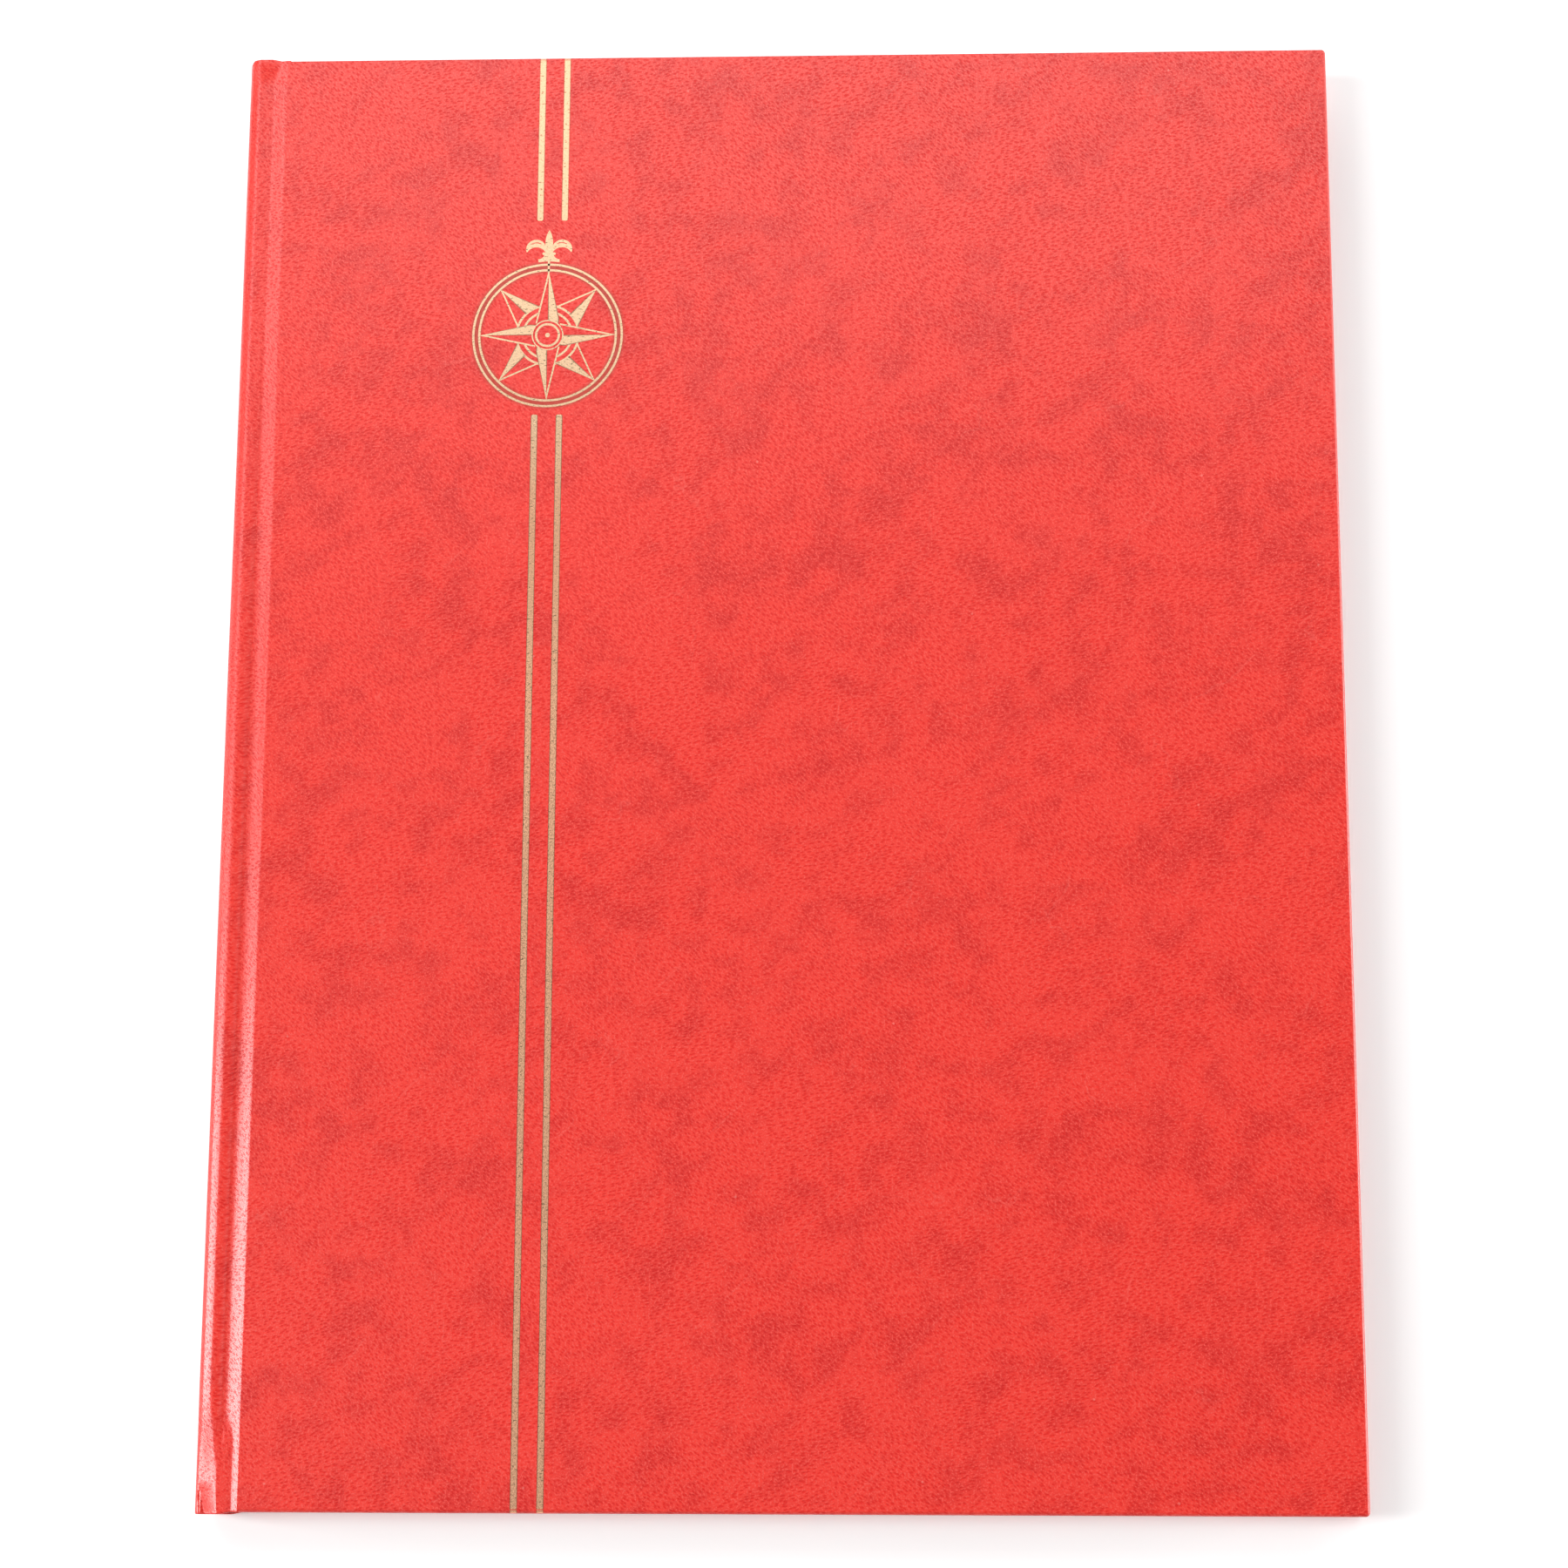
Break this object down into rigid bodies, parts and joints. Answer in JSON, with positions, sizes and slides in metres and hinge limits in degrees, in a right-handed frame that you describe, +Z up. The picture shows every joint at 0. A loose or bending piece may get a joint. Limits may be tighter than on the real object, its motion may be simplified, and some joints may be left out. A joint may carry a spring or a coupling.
{
  "type": "stamp album",
  "caption": "Hardcover stock album for stamps: leatherette case with grooved joints and gold foil ornament, hinged card leaves with clear pocket strips and glassine interleaves.",
  "frame": {"origin": "middle of the closed album's footprint, on the outer face of the back cover", "axes": "+X from the spine to the fore edge, +Y from tail to head, +Z up from the back cover to the front cover"},
  "size_m": [0.23, 0.3058, 0.0146],
  "materials": {
    "leatherette": "satin grained",
    "gold_foil": "hot-stamped foil",
    "greyboard": "matte",
    "endpaper": "matte",
    "black_card": "matte",
    "linen": "woven",
    "clear_film": "clear gloss",
    "glassine": "translucent"
  },
  "bodies": {
    "back_cover": {"back_board": "greyboard", "back_cover_skin": "leatherette", "back_pastedown": "endpaper", "rear_joint_skin": "leatherette"},
    "spine": {"spine_board": "greyboard", "spine_skin": "leatherette", "spine_lining": "linen"},
    "front_cover": {"front_board": "greyboard", "front_cover_skin": "leatherette", "front_pastedown": "endpaper", "gold_rules": "gold_foil", "compass_rose": "gold_foil", "front_joint_skin": "leatherette"},
    "leaf_1": {"leaf_1": "black_card", "linen_hinge_1": "linen", "interleaf_1": "glassine", "recto_strips_1": "clear_film", "verso_strips_1": "clear_film"},
    "leaf_2": {"leaf_2": "black_card", "linen_hinge_2": "linen", "interleaf_2": "glassine", "recto_strips_2": "clear_film", "verso_strips_2": "clear_film"},
    "leaf_3": {"leaf_3": "black_card", "linen_hinge_3": "linen", "interleaf_3": "glassine", "recto_strips_3": "clear_film", "verso_strips_3": "clear_film"},
    "leaf_4": {"leaf_4": "black_card", "linen_hinge_4": "linen", "interleaf_4": "glassine", "recto_strips_4": "clear_film", "verso_strips_4": "clear_film"},
    "leaf_5": {"leaf_5": "black_card", "linen_hinge_5": "linen", "interleaf_5": "glassine", "recto_strips_5": "clear_film", "verso_strips_5": "clear_film"},
    "leaf_6": {"leaf_6": "black_card", "linen_hinge_6": "linen", "interleaf_6": "glassine", "recto_strips_6": "clear_film", "verso_strips_6": "clear_film"},
    "leaf_7": {"leaf_7": "black_card", "linen_hinge_7": "linen", "interleaf_7": "glassine", "recto_strips_7": "clear_film", "verso_strips_7": "clear_film"},
    "leaf_8": {"leaf_8": "black_card", "linen_hinge_8": "linen", "interleaf_8": "glassine", "recto_strips_8": "clear_film", "verso_strips_8": "clear_film"}
  },
  "joints": [
    {"name": "rear_joint", "type": "hinge", "parent": "back_cover", "child": "spine", "pos_m": [-0.1144, 0, 0.0006], "axis": [0, -1, 0], "range_deg": [0, 90], "deforming": ["rear_joint_skin"]},
    {"name": "front_joint", "type": "hinge", "parent": "spine", "child": "front_cover", "pos_m": [-0.1144, 0, 0.014], "axis": [0, -1, 0], "range_deg": [0, 90], "deforming": ["front_joint_skin"]},
    {"name": "leaf_1_turn", "type": "hinge", "parent": "spine", "child": "leaf_1", "pos_m": [-0.1118, 0, 0.01098], "axis": [0, -1, 0], "range_deg": [0, 84]},
    {"name": "leaf_2_turn", "type": "hinge", "parent": "spine", "child": "leaf_2", "pos_m": [-0.1118, 0, 0.00992], "axis": [0, -1, 0], "range_deg": [0, 79.5]},
    {"name": "leaf_3_turn", "type": "hinge", "parent": "spine", "child": "leaf_3", "pos_m": [-0.1118, 0, 0.00887], "axis": [0, -1, 0], "range_deg": [0, 75]},
    {"name": "leaf_4_turn", "type": "hinge", "parent": "spine", "child": "leaf_4", "pos_m": [-0.1118, 0, 0.00783], "axis": [0, -1, 0], "range_deg": [0, 70.5]},
    {"name": "leaf_5_turn", "type": "hinge", "parent": "spine", "child": "leaf_5", "pos_m": [-0.1118, 0, 0.00677], "axis": [0, -1, 0], "range_deg": [-70.5, 0]},
    {"name": "leaf_6_turn", "type": "hinge", "parent": "spine", "child": "leaf_6", "pos_m": [-0.1118, 0, 0.00573], "axis": [0, -1, 0], "range_deg": [-75, 0]},
    {"name": "leaf_7_turn", "type": "hinge", "parent": "spine", "child": "leaf_7", "pos_m": [-0.1118, 0, 0.00468], "axis": [0, -1, 0], "range_deg": [-79.5, 0]},
    {"name": "leaf_8_turn", "type": "hinge", "parent": "spine", "child": "leaf_8", "pos_m": [-0.1118, 0, 0.00363], "axis": [0, -1, 0], "range_deg": [-84, 0]}
  ],
  "couplings": [
    {"joint": "front_joint", "follows": "rear_joint", "ratio": 1},
    {"joint": "leaf_1_turn", "follows": "rear_joint", "ratio": 0.9333},
    {"joint": "leaf_2_turn", "follows": "rear_joint", "ratio": 0.8833},
    {"joint": "leaf_3_turn", "follows": "rear_joint", "ratio": 0.8333},
    {"joint": "leaf_4_turn", "follows": "rear_joint", "ratio": 0.7833},
    {"joint": "leaf_5_turn", "follows": "rear_joint", "ratio": -0.7833},
    {"joint": "leaf_6_turn", "follows": "rear_joint", "ratio": -0.8333},
    {"joint": "leaf_7_turn", "follows": "rear_joint", "ratio": -0.8833},
    {"joint": "leaf_8_turn", "follows": "rear_joint", "ratio": -0.9333}
  ]
}
